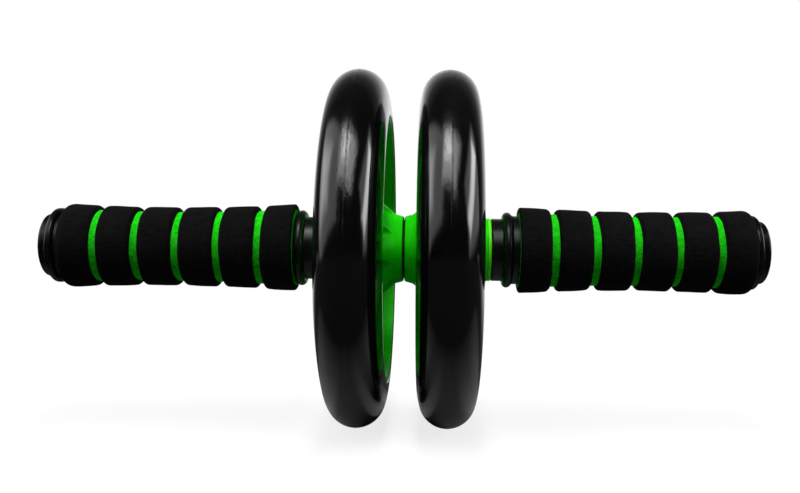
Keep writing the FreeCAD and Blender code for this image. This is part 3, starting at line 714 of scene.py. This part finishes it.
angles = roundAngles(foam["around"])
for side, sign in sides.items():
    place, outside = nodeSkin(f"{side}_grip_sleeve", 1)
    inside = nodeSkin(f"{side}_grip_sleeve", -1)
    piece = makePiece(f"{side}GripSleeve",
                      turnedSkin(sleeveSection(place, outside, inside), sign, foam["sleeveAround"]),
                      "handle_frame", foamGreen)
    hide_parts(f"{side}_grip_sleeve")
    for number in range(1, foam["bands"] + 1):
        isFirst, isLast = number == 1, number == foam["bands"]
        first, last, _ = reachOf(*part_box(f"{side}_grip_band_{number}"))
        across, height = bandSection(first, last, foam["cutShoulder" if isFirst else "shoulder"],
                                     foam["endShoulder" if isLast else "shoulder"])
        if isLast:  # the outer band closes over the sleeve's end, down to the handle
            depth = np.interp(last, *inside) + foam["wrapLift"] - np.interp(last, place, outside)
            across = np.concatenate([across, [last, last - foam["wrap"], last - foam["wrap"]]])
            height = np.concatenate([height, [depth, depth, 0.0]])
        turn = angles + 0 * across[:, None]
        across, height = across[:, None] + 0 * angles, height[:, None] + 0 * angles
        # The sway moves a band's two ends, not its middle, and the grip's own ends only a little.
        reach = (2 * (across - first) / (last - first) - 1) ** 3
        steady = np.where(reach < 0, foam["heldSway"] if isFirst else 1.0,
                          foam["heldSway"] if isLast else 1.0)
        swayed = across + foamWaves(across * 0, turn, foam["sway"]) * reach * steady
        lift = foamWaves(across, turn, foam["wave"]) * np.maximum(height, 0) / foam["thickness"]
        radius = np.interp(across, place, outside) + foam["overSleeve"] + height + lift
        spots = np.stack([swayed * sign, radius * np.cos(turn), radius * np.sin(turn)], -1) * mm
        piece = makePiece(f"{side}GripBand{number}", [(spots, True, True)], "handle_frame",
                          foamBlack, foam["sharpAngle"])
        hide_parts(f"{side}_grip_band_{number}")
print("foam grips made")


# CAD nodes that stay get their finish here.
keptFinish = {"axle": axleSteel, "left_inner_bush": ringGreen, "right_inner_bush": ringGreen}
for name, material in keptFinish.items():
    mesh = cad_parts[name].data
    mesh.materials.clear()
    mesh.materials.append(material)
print("CAD nodes kept:", len(keptFinish))


# Stage: a pale floor under the wheels. To the eye it is white away from the object and takes its
# shadow near it. To gloss it shows painted light and shade of the room: lighter near the wheels,
# dark past them, and white far behind.
stage = dict(floorHalf=3.0, floorTone=0.80, nearDim=0.42, farDim=0.03, dimFrom=0.07, dimTo=0.14,
             dimShape=(0.4, 1.0, 1.0), nearWhite=0.80, fadeFrom=0.16, fadeTo=0.55,
             whiteFrom=0.25, whiteTo=1.2, fill=0.06, white=(1.0, 1.0, 1.0, 1.0),
             mirrored=[(0.0, 0.012), (0.50, 0.02), (0.72, 0.11), (0.86, 0.40), (0.95, 0.80),
                       (0.985, 1.0)])
half, under = stage["floorHalf"], cadLow.z
floorMesh = bpy.data.meshes.new("paleFloor")
floorMesh.from_pydata([(-half, -half, under), (half, -half, under),
                       (half, half, under), (-half, half, under)], [], [(0, 1, 2, 3)])
paleFloor = bpy.data.objects.new("paleFloor", floorMesh)
scene.collection.objects.link(paleFloor)
floorMaterial = bpy.data.materials.new("floorPale")
floorMaterial.use_nodes = True
tree = floorMaterial.node_tree
tree.nodes.clear()
rays = addNode(tree, "ShaderNodeLightPath")
spot = addNode(tree, "ShaderNodeTexCoord").outputs["Object"]
away = addNode(tree, "ShaderNodeVectorMath", {0: spot}, operation="LENGTH").outputs["Value"]
behind = addNode(tree, "ShaderNodeSeparateXYZ", {"Vector": spot}).outputs["Y"]
white = rangeOf(tree, away, stage["nearWhite"], 1.0, stage["fadeFrom"], stage["fadeTo"],
                "SMOOTHSTEP")
mirrored = mathOf(tree, "MULTIPLY", rays.outputs["Is Glossy Ray"],
                  rangeOf(tree, behind, 0.0, 1.0, stage["whiteFrom"], stage["whiteTo"]))
oval = stretched(tree, spot, stage["dimShape"])
nearby = addNode(tree, "ShaderNodeVectorMath", {0: oval}, operation="LENGTH").outputs["Value"]
# painted light and shade for gloss: the floor's paint is lighter near the wheels and dark past them
paintedRoomTone = rangeOf(tree, nearby, stage["nearDim"], stage["farDim"], stage["dimFrom"], stage["dimTo"])
pale = addNode(tree, "ShaderNodeBsdfDiffuse", {"Color": (stage["floorTone"],) * 3 + (1.0,)})
dim = addNode(tree, "ShaderNodeBsdfDiffuse", {"Color": paintedRoomTone})
glow = addNode(tree, "ShaderNodeEmission", {"Color": stage["white"], "Strength": 1.0})
shown = addNode(tree, "ShaderNodeMixShader", {0: white, 1: pale.outputs[0], 2: glow.outputs[0]})
other = addNode(tree, "ShaderNodeMixShader", {0: mirrored, 1: dim.outputs[0], 2: glow.outputs[0]})
seen = addNode(tree, "ShaderNodeMixShader", {0: rays.outputs["Is Camera Ray"], 1: other.outputs[0],
                                             2: shown.outputs[0]})
addNode(tree, "ShaderNodeOutputMaterial", {"Surface": seen.outputs[0]})
floorMesh.materials.append(floorMaterial)

# World: for gloss white behind and dark in front, for matt surfaces a low fill, to the eye white.
world = bpy.data.worlds.new("studioWorld")
scene.world = world
world.use_nodes = True
tree = world.node_tree
tree.nodes.clear()
rays = addNode(tree, "ShaderNodeLightPath")
facing = addNode(tree, "ShaderNodeTexCoord").outputs["Generated"]
behind = addNode(tree, "ShaderNodeSeparateXYZ", {"Vector": facing}).outputs["Y"]
mirrored = rampOf(tree, behind, [(place, (tone,) * 3) for place, tone in stage["mirrored"]])
fill = addNode(tree, "ShaderNodeMix", {0: rays.outputs["Is Glossy Ray"], 2: stage["fill"],
                                       3: mirrored})
eye = mathOf(tree, "MAXIMUM", rays.outputs["Is Camera Ray"], rays.outputs["Is Transmission Ray"])
level = addNode(tree, "ShaderNodeMix", {0: eye, 2: fill.outputs[0], 3: 1.0})
sky = addNode(tree, "ShaderNodeBackground", {"Color": stage["white"], "Strength": level.outputs[0]})
addNode(tree, "ShaderNodeOutputWorld", {"Surface": sky.outputs[0]})

# Softboxes on a sphere round the object: angles from the camera's side and upwards in degrees, sizes
# in metres, and a brightness that falls off over the soft edge. A box lights matt surfaces, shows in
# gloss, or does both. The key is a long strip over the gap between the wheels.
lamps = {
    "keyStrip": dict(side=0, up=76, away=1.22, wide=0.13, tall=1.60, roll=0,
                     soft=0.03, bright=34.0, matt=True, gloss=False),
    "keyWide": dict(side=0, up=66, away=1.25, wide=1.60, tall=1.00, roll=0,
                    soft=0.20, bright=1.8, matt=True, gloss=False),
    "overheadBox": dict(side=-4, up=56, away=1.20, wide=1.30, tall=1.06, roll=-12,
                        soft=0.26, bright=4.6, matt=False, gloss=True),
    "overheadCore": dict(side=-17, up=61, away=1.15, wide=0.56, tall=0.52, roll=0,
                         soft=0.20, bright=8.0, matt=False, gloss=True),
    "leftPanel": dict(side=-74, up=31, away=1.15, wide=1.80, tall=1.44, roll=24,
                      soft=0.22, bright=1.30, matt=True, gloss=True),
    "leftSill": dict(side=-88, up=25, away=1.10, wide=0.86, tall=0.86, roll=30,
                     soft=0.34, bright=3.6, matt=True, gloss=True),
    "rightPanel": dict(side=82, up=22, away=1.15, wide=1.24, tall=1.06, roll=14,
                       soft=0.20, bright=1.3, matt=True, gloss=True),
    "rightStreak": dict(side=80, up=24, away=1.10, wide=1.04, tall=0.44, roll=38,
                        soft=0.18, bright=9.0, matt=True, gloss=True),
}
for name, box in lamps.items():
    lamp = bpy.data.lights.new(name, "AREA")
    lamp.shape = "RECTANGLE"
    lamp.size, lamp.size_y = box["wide"], box["tall"]
    lamp.energy = box["bright"] * box["wide"] * box["tall"] * math.pi
    lamp.use_nodes = True
    tree = lamp.node_tree
    spot = addNode(tree, "ShaderNodeNewGeometry").outputs["Parametric"]
    spot = addNode(tree, "ShaderNodeSeparateXYZ", {"Vector": spot})
    edges = []
    # The distance to the nearer edge, along each side of the box.
    for axis, length in (("X", box["wide"]), ("Y", box["tall"])):
        off = mathOf(tree, "ABSOLUTE", mathOf(tree, "SUBTRACT", spot.outputs[axis], 0.5))
        edges.append(mathOf(tree, "MULTIPLY", mathOf(tree, "SUBTRACT", 0.5, off), length))
    nearest = mathOf(tree, "MINIMUM", *edges)
    tree.links.new(rangeOf(tree, nearest, 0.0, 1.0, 0.0, box["soft"], "SMOOTHSTEP"),
                   tree.nodes["Emission"].inputs["Strength"])
    side, up = math.radians(box["side"]), math.radians(box["up"])
    out = Vector((math.sin(side) * math.cos(up), -math.cos(side) * math.cos(up), math.sin(up)))
    holder = bpy.data.objects.new(name, lamp)
    holder.location = out * box["away"]
    aim = out.to_track_quat("Z", "Y") @ Quaternion((0, 0, 1), math.radians(box["roll"]))
    holder.rotation_euler = aim.to_euler()
    holder.visible_diffuse, holder.visible_glossy = box["matt"], box["gloss"]
    scene.collection.objects.link(holder)
print("stage lit by", len(lamps), "softboxes")
